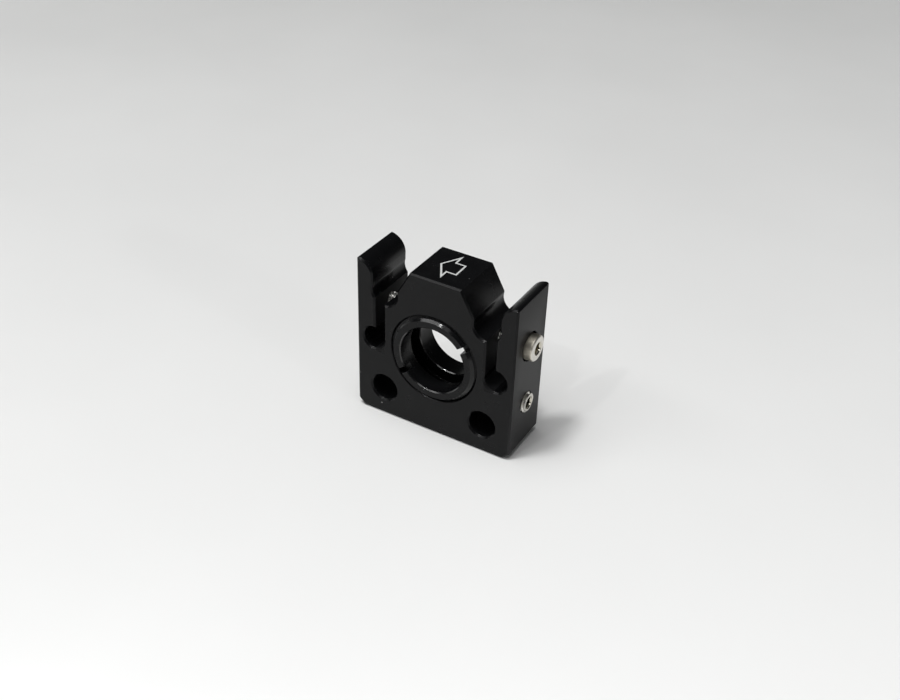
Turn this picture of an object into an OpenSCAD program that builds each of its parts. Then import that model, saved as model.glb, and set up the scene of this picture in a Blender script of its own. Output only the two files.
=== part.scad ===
// Lens mount for a miniature optical cage with four 4 mm rods.
// One machined plate holds a lens in a threaded bore behind a retaining ring.
// Two lower rods pass through bores and are locked by cone-point set screws.
// Two upper rods snap into open seats, and a cap screw draws each sprung arm
// against its rod.
// Frame: the optical axis is Y, the origin lies on it at the plate's front
// face, the plate runs towards +Y and Z is up.

/* [Plate] */
// Width of the plate across its two side faces
plate_w = 25; // [24:0.5:27]
// Thickness of the plate along the optical axis
plate_t = 8.8; // [8:0.2:12]
// Height of the optical axis above the bottom face
axis_h = 12.5; // [11.5:0.5:15]
// Height of the centre block's top above the optical axis
block_top = 12.5; // [11.5:0.25:14]
// Width of the centre block's flat top
block_top_w = 7.9; // [6:0.1:8.4]
// Slope of the centre block's flanks from the horizontal, in degrees
flank_angle = 61; // [58:0.5:64]
// Chamfer of the two bottom corners
foot_chamfer = 1; // [0.4:0.1:2]
// Edge break round the front and back faces
edge = 0.25; // [0.1:0.05:0.25]

/* [Rods] */
// Diameter of the cage rods
rod_d = 4; // [3.8:0.05:4.2]
// Spacing of the cage rods, the same across and up
rod_pitch = 16; // [15.6:0.1:16.4]
// Radial clearance between a rod and its bore or seat
rod_gap = 0.05; // [0.02:0.01:0.1]

/* [Sprung arms] */
// Height of the arm tips above the optical axis
arm_top = 12.3; // [11.8:0.1:13]
// How far the arm's lip reaches over the widest line of its rod seat
lip_catch = 0.1; // [0.05:0.05:0.3]
// Radius that rounds the outer corner of an arm tip
tip_round = 0.35; // [0.3:0.05:0.8]
// Width of the flat that breaks the corner between a flank and its rod seat
nose_flat = 0.25; // [0.15:0.05:0.4]
// Width of the slot that frees an arm from the block
slot_w = 1.5; // [1.2:0.1:1.8]
// Offset of the slot's inner wall from the rods' centre line, outwards
slot_shift = 0.05; // [0:0.05:0.3]
// How far the round hole at the slot's foot bites into the block
keyhole_bite = 0.05; // [0.03:0.01:0.3]
// Thinnest wall of the arm's spring, beside that round hole
spring_wall = 1.05; // [0.8:0.05:1.4]
// Height of the round hole's centre above the optical axis
keyhole_z = 0; // [-1:0.25:1]

/* [Lens bore] */
// Major diameter of the lens bore's thread
bore_d = 13.6; // [13:0.1:14.4]
// Depth of the lens seat behind the front face
seat_depth = 4.85; // [4.4:0.05:6]
// Chamfer at the mouth of the lens bore
bore_chamfer = 0.13; // [0.1:0.01:0.3]
// Width of the ledge that the lens rests on
ledge = 1.72; // [1:0.02:2.4]
// Edge break of the lens seat's inner rim
seat_rim = 0.12; // [0.05:0.01:0.3]
// Width of the flare behind the clear aperture
flare = 0.9; // [0.4:0.1:1.5]

/* [Retaining ring] */
// Length of the ring along the optical axis
ring_len = 3; // [2.4:0.1:3.6]
// How far the ring stands out of the front face
ring_proud = 0.42; // [0.2:0.02:0.8]
// Wall of the ring, from its inner face to its thread's crest
ring_wall = 1.67; // [1.4:0.01:2.2]
// Chamfer on the ring's inner front edge
ring_inner_chamfer = 0.15; // [0.1:0.05:0.5]
// Chamfer on the ring's outer front edge
ring_outer_chamfer = 0.62; // [0.2:0.02:0.7]
// Chamfer on the ring's back edges
ring_back_chamfer = 0.2; // [0.1:0.05:0.3]
// Width of the two spanner slots
spanner_w = 0.85; // [0.6:0.05:1.4]
// Depth of the two spanner slots
spanner_depth = 1.4; // [0.8:0.1:2]
// Turn of the spanner slots from the horizontal, in degrees
spanner_angle = 36; // [0:1:90]

/* [Clamp screws] */
// Thread diameter of a clamp screw
clamp_d = 2; // [1.8:0.1:2.2]
// Length of a clamp screw under its head
clamp_len = 5; // [4.6:0.1:5.4]
// Diameter of the cap head
head_d = 3.76; // [3.5:0.02:3.9]
// Height of the cap head
head_h = 2; // [1.8:0.1:2.4]
// Radius round the top rim of the cap head
head_round = 0.3; // [0.1:0.05:0.4]
// Width across the flats of the cap head's hex socket
head_socket = 1.5; // [1.3:0.05:1.6]
// Depth of the cap head's hex socket
head_socket_depth = 1; // [0.7:0.1:1.2]
// Height of the clamp screws above the optical axis
clamp_z = 4.4; // [4:0.1:4.8]
// Diameter of the counterbore round the cap head
counterbore_d = 4.25; // [4.15:0.05:4.5]
// Depth of that counterbore from the side face
counterbore_depth = 0.9; // [0.6:0.1:1.4]
// Radial clearance of the screw's hole through the arm
arm_hole_gap = 0.1; // [0.08:0.02:0.3]

/* [Set screws] */
// Thread diameter of a set screw
set_d = 3; // [2.8:0.1:3]
// Length of a set screw, cone point included
set_len = 5; // [4.8:0.1:6]
// Full angle of the cone point, in degrees
cone_angle = 90; // [90:1:100]
// Chamfer round the outer end of a set screw
set_chamfer = 0.17; // [0.1:0.01:0.3]
// Width across the flats of a set screw's hex socket
set_socket = 1.5; // [1.3:0.05:1.6]
// Depth of a set screw's hex socket
set_socket_depth = 2; // [1.2:0.1:2.2]
// Drop of the set screws below the optical axis
set_drop = 4.95; // [4.8:0.05:4.95]
// How far the cone point reaches past the rod's centre line
set_reach = 0.05; // [0:0.01:0.05]

/* [Fits] */
// Radial clearance between each thread and its hole
thread_gap = 0.05; // [0.02:0.01:0.08]
// Gap between a cap head and the floor of its counterbore
head_gap = 0.02; // [0.01:0.01:0.05]
// Run of a blind hole past the end of its screw
hole_run = 0.3; // [0.1:0.05:0.4]
// Chamfer at the mouth of each screw hole
mouth = 0.12; // [0.05:0.01:0.2]

/* [Hidden] */
$fn = 96;

side = plate_w / 2;
mid_y = plate_t / 2;
rod_at = rod_pitch / 2;
seat_r = rod_d / 2 + rod_gap;
over = 0.2;             // how far a cutter runs clear of the face it cuts
swell = 0.01;           // how far a round swells past the flat that it runs into
drill_point = 118;      // full angle of a drill's point, in degrees

lip_x = rod_at + seat_r - lip_catch;
tip_r = side - lip_x + swell;
tip_z = arm_top - tip_r;
slot_x = rod_at + slot_shift;
keyhole_r = (side - spring_wall - slot_x + keyhole_bite) / 2;
keyhole_x = side - spring_wall - keyhole_r;

// The flank's line starts at the block's top corner and runs down to the seat.
top_corner = [block_top_w / 2, block_top];
flank_dir = [cos(flank_angle), -sin(flank_angle)];
flank_out = [sin(flank_angle), cos(flank_angle)];
seat_at = [rod_at, rod_at];

// Distance along the line p + t * dir at which it first meets a circle.
function first_meet(p, dir, c, r) =
    let (b = (c - p) * dir, q = (c - p) * (c - p) - r * r) b - sqrt(b * b - q);

// The nose is the convex corner between a flank and its seat, with its flat
// square to the line that halves the corner.
nose = top_corner + first_meet(top_corner, flank_dir, seat_at, seat_r) * flank_dir;
seat_out = (seat_at - nose) / seat_r;
nose_out = (flank_out + seat_out) / norm(flank_out + seat_out);
nose_up = [-nose_out[1], nose_out[0]];
nose_mid = nose - nose_flat / 2 * tan(acos(flank_out * nose_out)) * nose_out;
nose_low = nose_mid - nose_flat / 2 * nose_up;
nose_high = nose_mid + nose_flat / 2 * nose_up;

// The tip's outer corner round runs into the tip's arc and the side face.
tip_round_at = [
    side - tip_round + swell,
    tip_z + sqrt(pow(tip_r - tip_round + swell, 2) - pow(tip_round - swell, 2)),
];

bore_r = bore_d / 2;
aperture_r = bore_r - ledge;
ring_r = bore_r - thread_gap;
ring_inner = ring_r - ring_wall;
ring_back = ring_len - ring_proud;
head_seat = side - counterbore_depth;
clamp_tip = head_seat + head_gap - clamp_len;
set_tip = rod_at - set_reach;

anodised = [0.09, 0.09, 0.1];
ring_black = [0.13, 0.13, 0.14];
stainless = [0.75, 0.74, 0.72];

// Extrudes a shape drawn in the plate's face, x across and y up, through it.
module through(extra = 0) {
    translate([0, plate_t + extra, 0])
        rotate([90, 0, 0])
            linear_extrude(plate_t + 2 * extra) children();
}

// Repeats its children on the left, mirrored.
module both_sides() {
    children();
    mirror([1, 0, 0]) children();
}

// A hole along Y with its edge broken at both faces.
module rod_hole(at, r) {
    translate([at[0], 0, at[1]])
        rotate([-90, 0, 0])
            rotate_extrude()
                polygon([
                    [0, -over], [r + edge + over, -over], [r, edge],
                    [r, plate_t - edge], [r + edge + over, plate_t + over],
                    [0, plate_t + over],
                ]);
}

// A pillar along Y with its edges broken, which a cutter leaves standing.
module rounded_edge(at, r) {
    clear = min(over, (r - edge) / 2);
    translate([at[0], 0, at[1]])
        rotate([-90, 0, 0])
            rotate_extrude()
                polygon([
                    [0, -clear], [r - edge - clear, -clear], [r, edge], [r, plate_t - edge],
                    [r - edge - clear, plate_t + clear], [0, plate_t + clear],
                ]);
}

// Breaks both face edges along a straight side that runs from p to q, with
// the solid on the left of that way, and runs past its ends by lead and tail.
module straight_edge(p, q, lead = 0, tail = 0) {
    way = q - p;
    translate([p[0], 0, p[1]])
        rotate([0, atan2(way[0], way[1]), 0])
            translate([0, 0, -lead])
                linear_extrude(norm(way) + lead + tail) {
                    polygon([[-edge - over, -over], [over, -over], [over, edge + over]]);
                    polygon([
                        [-edge - over, plate_t + over], [over, plate_t + over],
                        [over, plate_t - edge - over],
                    ]);
                }
}

// The right-hand rod seat with its open throat and its arm's rounded tip.
module upper_seat() {
    far = 2 * side;
    high = 2 * max(block_top, arm_top);
    rod_hole(seat_at, seat_r);
    difference() {
        through(over) polygon([
            nose, top_corner - flank_dir * (high - block_top) / sin(flank_angle),
            [far, high], [far, tip_z], [lip_x, tip_z], [lip_x, rod_at], seat_at,
        ]);
        rounded_edge([side, tip_z], tip_r);
    }
    difference() {
        through(over) polygon([
            tip_round_at, [far, tip_round_at[1]], [far, high],
            2 * tip_round_at - [side, tip_z],
        ]);
        rounded_edge(tip_round_at, tip_round);
    }
    through(over) polygon([
        nose_low - edge * nose_up, seat_at, nose_high + edge * nose_up + over * nose_out,
        nose_high + edge * nose_up,
    ]);
    straight_edge([lip_x, tip_z], [lip_x, rod_at], tip_r / 2);
    straight_edge(nose_low, nose_high, edge, edge);
    straight_edge(nose, top_corner, 0, edge);
}

// The slot that frees the right-hand arm, with its round foot.
module arm_slot() {
    slot_top = rod_at - seat_r / 2;
    rod_hole([keyhole_x, keyhole_z], keyhole_r);
    through(over) translate([slot_x, keyhole_z]) square([slot_w, slot_top - keyhole_z]);
    straight_edge([slot_x, keyhole_z], [slot_x, slot_top]);
    straight_edge([slot_x + slot_w, slot_top], [slot_x + slot_w, keyhole_z]);
}

// The lens bore: threaded stretch, lens seat, clear aperture and rear flare.
module lens_bore() {
    rotate([-90, 0, 0])
        rotate_extrude()
            polygon([
                [0, -over], [bore_r + bore_chamfer + over, -over], [bore_r, bore_chamfer],
                [bore_r, seat_depth], [aperture_r + seat_rim, seat_depth],
                [aperture_r, seat_depth + seat_rim], [aperture_r, plate_t - flare],
                [aperture_r + flare + over, plate_t + over], [0, plate_t + over],
            ]);
}

// A blind hole from the right-hand side face, with a chamfer at its mouth and
// a drill point at its end.
module side_hole(z, r, end_x) {
    translate([0, mid_y, z])
        rotate([0, 90, 0])
            rotate_extrude()
                polygon([
                    [0, end_x - r / tan(drill_point / 2)], [r, end_x], [r, side - mouth],
                    [r + mouth + over, side + over], [0, side + over],
                ]);
}

// The clamp screw's counterbore, its hole through the arm and its tapped hole.
module clamp_hole() {
    thread_r = clamp_d / 2 + thread_gap;
    translate([0, mid_y, clamp_z])
        rotate([0, 90, 0])
            rotate_extrude()
                polygon([
                    [0, clamp_tip - hole_run - thread_r / tan(drill_point / 2)],
                    [thread_r, clamp_tip - hole_run], [thread_r, slot_x + slot_w / 2],
                    [clamp_d / 2 + arm_hole_gap, slot_x + slot_w / 2],
                    [clamp_d / 2 + arm_hole_gap, head_seat], [counterbore_d / 2, head_seat],
                    [counterbore_d / 2, side - mouth],
                    [counterbore_d / 2 + mouth + over, side + over], [0, side + over],
                ]);
}

// The blank: bottom corners chamfered, face edges of its straight sides broken.
module blank() {
    foot = side - foot_chamfer;
    base = -axis_h;
    difference() {
        through() polygon([
            [-foot, base], [foot, base], [side, base + foot_chamfer], [side, block_top],
            [-side, block_top], [-side, base + foot_chamfer],
        ]);
        straight_edge([-foot, base], [foot, base], edge, edge);
        straight_edge(top_corner, [-top_corner[0], top_corner[1]], edge, edge);
        both_sides() {
            straight_edge([foot, base], [side, base + foot_chamfer], edge, edge);
            straight_edge([side, base + foot_chamfer], [side, block_top], edge, edge);
        }
    }
}

module cage_plate() {
    color(anodised)
        difference() {
            blank();
            lens_bore();
            both_sides() {
                rod_hole([rod_at, -rod_at], seat_r);
                upper_seat();
                arm_slot();
                clamp_hole();
                side_hole(-set_drop, set_d / 2 + thread_gap, set_tip - hole_run);
            }
        }
}

module retaining_ring() {
    front = -ring_proud;
    color(ring_black)
        difference() {
            rotate([-90, 0, 0])
                rotate_extrude()
                    polygon([
                        [ring_inner + ring_inner_chamfer, front], [ring_r - ring_outer_chamfer, front],
                        [ring_r, front + ring_outer_chamfer],
                        [ring_r, ring_back - ring_back_chamfer],
                        [ring_r - ring_back_chamfer, ring_back],
                        [ring_inner + ring_back_chamfer, ring_back],
                        [ring_inner, ring_back - ring_back_chamfer],
                        [ring_inner, front + ring_inner_chamfer],
                    ]);
            rotate([0, -spanner_angle, 0])
                translate([-bore_r, front - over, -spanner_w / 2])
                    cube([bore_d, spanner_depth + over, spanner_w]);
        }
}

// A hex socket that opens along +Z at height z, with a drilled cone below it.
module hex_socket(across, depth, z) {
    corner = across / 2 / cos(30);
    translate([0, 0, z - depth]) linear_extrude(depth + over) circle(corner, $fn = 6);
    translate([0, 0, z - depth - across / 2 / tan(drill_point / 2)])
        cylinder(r1 = 0, r2 = across / 2, h = across / 2 / tan(drill_point / 2));
}

// A cap screw along +Z, with its head's underside at z = 0.
module cap_screw() {
    head_r = head_d / 2;
    thread_r = clamp_d / 2;
    point = clamp_d / 10;
    difference() {
        union() {
            rotate_extrude() {
                square([head_r - head_round, head_h]);
                square([head_r, head_h - head_round]);
                translate([head_r - head_round, head_h - head_round]) circle(head_round);
            }
            rotate_extrude()
                polygon([
                    [0, -clamp_len], [thread_r - point, -clamp_len],
                    [thread_r, point - clamp_len], [thread_r, 0], [thread_r, over], [0, over],
                ]);
        }
        hex_socket(head_socket, head_socket_depth, head_h);
    }
}

// A cone-point set screw along +Z, with its point at z = 0.
module set_screw() {
    thread_r = set_d / 2;
    cone_len = thread_r / tan(cone_angle / 2);
    difference() {
        rotate_extrude()
            polygon([
                [0, 0], [thread_r, cone_len], [thread_r, set_len - set_chamfer],
                [thread_r - set_chamfer, set_len], [0, set_len],
            ]);
        hex_socket(set_socket, set_socket_depth, set_len);
    }
}

module clamp_screw_right() {
    color(stainless)
        translate([head_seat + head_gap, mid_y, clamp_z]) rotate([0, 90, 0]) cap_screw();
}

module clamp_screw_left() {
    mirror([1, 0, 0]) clamp_screw_right();
}

module set_screw_right() {
    color(stainless)
        translate([set_tip, mid_y, -set_drop]) rotate([0, 90, 0]) set_screw();
}

module set_screw_left() {
    mirror([1, 0, 0]) set_screw_right();
}

cage_plate();
retaining_ring();
clamp_screw_left();
clamp_screw_right();
set_screw_left();
set_screw_right();
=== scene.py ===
"""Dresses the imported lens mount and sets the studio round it.

Everything is in metres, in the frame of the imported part: the optical axis is
Y, the origin lies on it at the plate's front face, and Z is up. Sizes are
written in millimetres and turned into metres by mm().
"""

import logging
import math
from dataclasses import dataclass
from enum import Enum
from functools import cache
from typing import Any, Iterable, Sequence

import bmesh
import bpy
from mathutils import Matrix, Vector


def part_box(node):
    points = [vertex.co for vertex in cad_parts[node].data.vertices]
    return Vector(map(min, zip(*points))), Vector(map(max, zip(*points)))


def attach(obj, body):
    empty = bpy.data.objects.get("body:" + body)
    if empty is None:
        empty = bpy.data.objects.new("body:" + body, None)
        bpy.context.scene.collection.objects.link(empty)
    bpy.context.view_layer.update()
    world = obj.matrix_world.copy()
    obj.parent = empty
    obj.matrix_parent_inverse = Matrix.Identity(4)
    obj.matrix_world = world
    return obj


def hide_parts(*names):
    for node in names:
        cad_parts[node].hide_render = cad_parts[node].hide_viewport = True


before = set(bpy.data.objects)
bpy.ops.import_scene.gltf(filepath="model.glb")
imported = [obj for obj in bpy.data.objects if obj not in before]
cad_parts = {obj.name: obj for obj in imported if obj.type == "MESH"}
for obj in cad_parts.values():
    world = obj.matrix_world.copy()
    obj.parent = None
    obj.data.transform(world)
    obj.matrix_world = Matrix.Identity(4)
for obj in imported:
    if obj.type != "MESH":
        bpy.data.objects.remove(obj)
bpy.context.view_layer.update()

log = logging.getLogger("lens_mount")

Point2 = tuple[float, float]
Point3 = tuple[float, float, float]
Colour = tuple[float, float, float]
Object = bpy.types.Object
Node = bpy.types.Node
Socket = bpy.types.NodeSocket

VECTOR = "NodeSocketVector"
FLOAT = "NodeSocketFloat"

SMOOTH_ANGLE = math.radians(32)
WELD = 2e-7
X, Y, Z = range(3)  # the numbers of the axes
ROUND = 96  # steps of a full turn where nothing finer is needed
LAY_BACK = Matrix.Rotation(-math.pi / 2, 4, "X")  # from standing along Z to lying along Y


def mm(length: float) -> float:
    """Returns a length given in millimetres as metres."""
    return length / 1000


def quarter_turn(steps: int) -> list[float]:
    """Returns the angles of a quarter turn in even steps, both ends included."""
    return [math.pi / 2 * k / steps for k in range(steps + 1)]


class Side(Enum):
    """The two sides of the plate, with the sign of X on each."""

    LEFT = -1
    RIGHT = 1


class Cut(Enum):
    """What a boolean step does with its second solid."""

    AWAY = "DIFFERENCE"
    JOINED = "UNION"


# ---- node trees


class Tree:
    """Builds one node tree, with short calls for its nodes and links."""

    def __init__(self, tree: bpy.types.NodeTree) -> None:
        """Takes the node tree that is to be filled."""
        self.tree = tree

    @classmethod
    def group(
        cls, name: str, inputs: dict[str, Any], outputs: dict[str, str], kind: str = "ShaderNodeTree"
    ) -> "Tree":
        """Makes a node group with named sockets.

        Args:
            name: the group's name.
            inputs: each input's name with its default, or with its socket type.
            outputs: each output's name with its socket type.
            kind: ShaderNodeTree or GeometryNodeTree.

        Returns:
            The group, ready to be filled.
        """
        made = bpy.data.node_groups.new(name, kind)
        types = {float: FLOAT, int: "NodeSocketInt", bool: "NodeSocketBool"}
        for label, default in inputs.items():
            known = types.get(type(default), default)
            made_socket = made.interface.new_socket(label, in_out="INPUT", socket_type=known)
            if type(default) in types:
                made_socket.default_value = default
        for label, socket_type in outputs.items():
            made.interface.new_socket(label, in_out="OUTPUT", socket_type=socket_type)
        return cls(made)

    def node(self, kind: str, inputs: dict[str | int, Any] | None = None, **settings: Any) -> Node:
        """Adds a node.

        Args:
            kind: the node's Blender type.
            inputs: what goes into its sockets, each a constant or a socket.
            settings: the node's own properties.

        Returns:
            The new node.
        """
        made = self.tree.nodes.new(kind)
        for label, value in settings.items():
            setattr(made, label, value)
        for label, value in (inputs or {}).items():
            self.put(made.inputs[label], value)
        return made

    def put(self, target: Socket, value: Any) -> None:
        """Links a socket into an input, or sets the input's constant.

        Args:
            target: the input.
            value: the socket or the constant.
        """
        if isinstance(value, Socket):
            self.tree.links.new(value, target)
        else:
            target.default_value = value

    def math(self, operation: str, *values: Any) -> Socket:
        """Adds a Math node on the values and returns its result."""
        made = self.node("ShaderNodeMath", dict(enumerate(values)), operation=operation)
        return made.outputs[0]

    def blend(self, factor: Any, first: Any, second: Any) -> Socket:
        """Mixes two values by a factor and returns the result."""
        return self.node("ShaderNodeMix", {0: factor, 2: first, 3: second}).outputs[0]

    def blend_colours(self, factor: Any, first: Any, second: Any) -> Socket:
        """Mixes two colours by a factor and returns the result."""
        first, second = ((*c, 1.0) if isinstance(c, tuple) else c for c in (first, second))
        return self.node("ShaderNodeMix", {0: factor, 6: first, 7: second}, data_type="RGBA").outputs[2]

    def remap(self, value: Any, old: Sequence, new: Sequence = (0, 1)) -> Socket:
        """Maps a value from one range to another, clamped, and returns it."""
        made = self.node("ShaderNodeMapRange", dict(enumerate([value, *old, *new])))
        return made.outputs[0]

    def noise(self, place: Any, scale: Any, detail: float, rough: float = 0.5) -> Socket:
        """Adds a noise texture and returns its value."""
        inputs = {"Vector": place, "Scale": scale, "Detail": detail, "Roughness": rough}
        return self.node("ShaderNodeTexNoise", inputs).outputs[0]

    def split(self, place: Socket) -> Any:
        """Returns the three parts of a vector."""
        return self.node("ShaderNodeSeparateXYZ", {0: place}).outputs

    def dot(self, first: Any, second: Any) -> Socket:
        """Returns how far the first vector reaches along the second."""
        made = self.node("ShaderNodeVectorMath", {0: first, 1: second}, operation="DOT_PRODUCT")
        return made.outputs["Value"]

    def radius(self, place: Socket, axis: int) -> Socket:
        """Measures how far a place lies from an axis.

        Args:
            place: the place.
            axis: the axis's number.

        Returns:
            The distance.
        """
        at = self.split(place)
        across = {k: at[k] for k in range(3) if k != axis}
        flat = self.node("ShaderNodeCombineXYZ", across)
        length = self.node("ShaderNodeVectorMath", {0: flat.outputs[0]}, operation="LENGTH")
        return length.outputs["Value"]

    def place(self, group: "Tree", inputs: dict[str, Any]) -> Any:
        """Places a group in this tree with its own input values and returns its outputs."""
        return self.node("ShaderNodeGroup", inputs, node_tree=group.tree).outputs

    def inputs(self) -> bpy.types.NodeOutputs:
        """Returns the sockets of the group's own inputs."""
        return self.node("NodeGroupInput").outputs

    def finish(self, **results: Socket) -> "Tree":
        """Links the results to the group's outputs and returns the group."""
        self.node("NodeGroupOutput", results)
        return self


# ---- solids and cuts


def new_object(name: str, data: bpy.types.ID) -> Object:
    """Makes an object and links it to the scene.

    Args:
        name: the object's name.
        data: its mesh, lamp or camera.

    Returns:
        The object.
    """
    made = bpy.data.objects.new(name, data)
    bpy.context.scene.collection.objects.link(made)
    return made


def apply_step(owner: Object, step: bpy.types.Modifier) -> None:
    """Gives an object the mesh that a modifier makes of it, and removes the modifier.

    Args:
        owner: the object.
        step: its modifier.
    """
    depsgraph = bpy.context.evaluated_depsgraph_get()
    made = bpy.data.meshes.new_from_object(owner.evaluated_get(depsgraph), depsgraph=depsgraph)
    owner.modifiers.remove(step)
    owner.data = made


def form_object(name: str, form: bmesh.types.BMesh, mend: bool = True) -> Object:
    """Welds a form, makes an object of it and frees the form.

    Args:
        name: the object's name.
        form: its form.
        mend: whether its slivers are taken away and its faces turned outwards.

    Returns:
        The object.
    """
    bmesh.ops.remove_doubles(form, verts=form.verts, dist=WELD)
    if mend:
        bmesh.ops.dissolve_degenerate(form, edges=form.edges, dist=WELD)
        bmesh.ops.recalc_face_normals(form, faces=form.faces)
    mesh = bpy.data.meshes.new(name)
    form.to_mesh(mesh)
    form.free()
    return new_object(name, mesh)


def lathe(name: str, profile: Sequence[Point2], segments: int, closed: bool = True) -> Object:
    """Turns a profile round Z into a solid, or into a sheet if it isn't closed.

    Args:
        name: the object's name.
        profile: points as (radius, height), counter-clockwise as seen with the
            axis on the left.
        segments: how many steps the full turn takes.
        closed: whether the last point is joined to the first.

    Returns:
        The object, a solid's faces turned outwards.
    """
    form = bmesh.new()
    rings = []
    for step in range(segments):
        angle = math.tau * step / segments
        c, s = math.cos(angle), math.sin(angle)
        rings.append([form.verts.new((r * c, r * s, h)) for r, h in profile])
    for step, ring in enumerate(rings):
        after = rings[(step + 1) % segments]
        for k in range(len(profile) - (not closed)):
            n = (k + 1) % len(profile)
            if profile[k][0] or profile[n][0]:
                form.faces.new((ring[k], after[k], after[n], ring[n]))
    return form_object(name, form)


def prism(name: str, outline: Sequence[Point2], low: float, high: float) -> Object:
    """Makes a solid of an outline in X and Y that stands from low to high.

    Args:
        name: the object's name.
        outline: the outline's points in order, round either way.
        low: the height of its foot.
        high: the height of its top.

    Returns:
        The object.
    """
    form = bmesh.new()
    foot = [form.verts.new((x, y, low)) for x, y in outline]
    head = [form.verts.new((x, y, high)) for x, y in outline]
    form.faces.new(foot[::-1])
    form.faces.new(head)
    for k in range(len(outline)):
        n = (k + 1) % len(outline)
        form.faces.new((foot[k], foot[n], head[n], head[k]))
    return form_object(name, form)


def combine(body: Object, tool: Object, cut: Cut) -> Object:
    """Joins a tool to a body or cuts it away, and discards the tool.

    Args:
        body: the object that changes.
        tool: the object that it is changed with.
        cut: whether the tool is joined or cut away.

    Returns:
        The body.
    """
    step = body.modifiers.new("cut", "BOOLEAN")
    step.operation = cut.value
    step.solver = "MANIFOLD"
    step.object = tool
    apply_step(body, step)
    bpy.data.objects.remove(tool)
    return body


def moved(owner: Object, way: Matrix) -> Object:
    """Places an object by moving its mesh, so that the object stays at the origin."""
    owner.data.transform(way)
    return owner


def shade_by_angle(owner: Object) -> None:
    """Shades an object smooth, with its edges sharp past SMOOTH_ANGLE.

    Args:
        owner: the object.
    """
    form = bmesh.new()
    form.from_mesh(owner.data)
    for face in form.faces:
        face.smooth = True
    for edge in form.edges:
        edge.smooth = len(edge.link_faces) == 2 and edge.calc_face_angle() < SMOOTH_ANGLE
    form.to_mesh(owner.data)
    form.free()


def merged_copy(node: str, name: str) -> Object:
    """Copies a CAD node and joins its loose triangles.

    Args:
        node: the node's name.
        name: the copy's name.

    Returns:
        The copy.
    """
    form = bmesh.new()
    form.from_mesh(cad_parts[node].data)
    return form_object(name, form, mend=False)


@dataclass(frozen=True)
class Thread:
    """A thread along Z from start to end, with a 45 degree cone at each end.

    An external thread is a rod; an internal one is the tap that cuts it.
    """

    major_radius: float
    minor_radius: float
    pitch: float
    start: float
    end: float
    start_radius: float
    end_radius: float
    segments: int
    internal: bool = False

    STEPS = 16  # rows of vertices in one pitch
    # Where a flank leaves the crest and meets the root, in pitches from the
    # middle of the crest, for a rod and for a tap.
    ROD_FLANK = (1 / 16, 3 / 8)
    TAP_FLANK = (1 / 8, 7 / 16)

    def solid(self, name: str) -> Object:
        """Makes the closed rod or tap by the Geometry Nodes tree for threads.

        Each of the tree's inputs takes the field of its name.

        Args:
            name: the object's name.

        Returns:
            The object.
        """
        holder = new_object(name, bpy.data.meshes.new(name))
        step = holder.modifiers.new("thread", "NODES")
        step.node_group = thread_tree().tree
        for item in step.node_group.interface.items_tree:
            field = item.name.lower().replace(" ", "_")
            if item.in_out == "INPUT" and hasattr(self, field):
                step[item.identifier] = getattr(self, field)
        apply_step(holder, step)
        form = bmesh.new()
        form.from_mesh(holder.data)
        bmesh.ops.recalc_face_normals(form, faces=form.faces)
        form.to_mesh(holder.data)
        form.free()
        return holder


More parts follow.
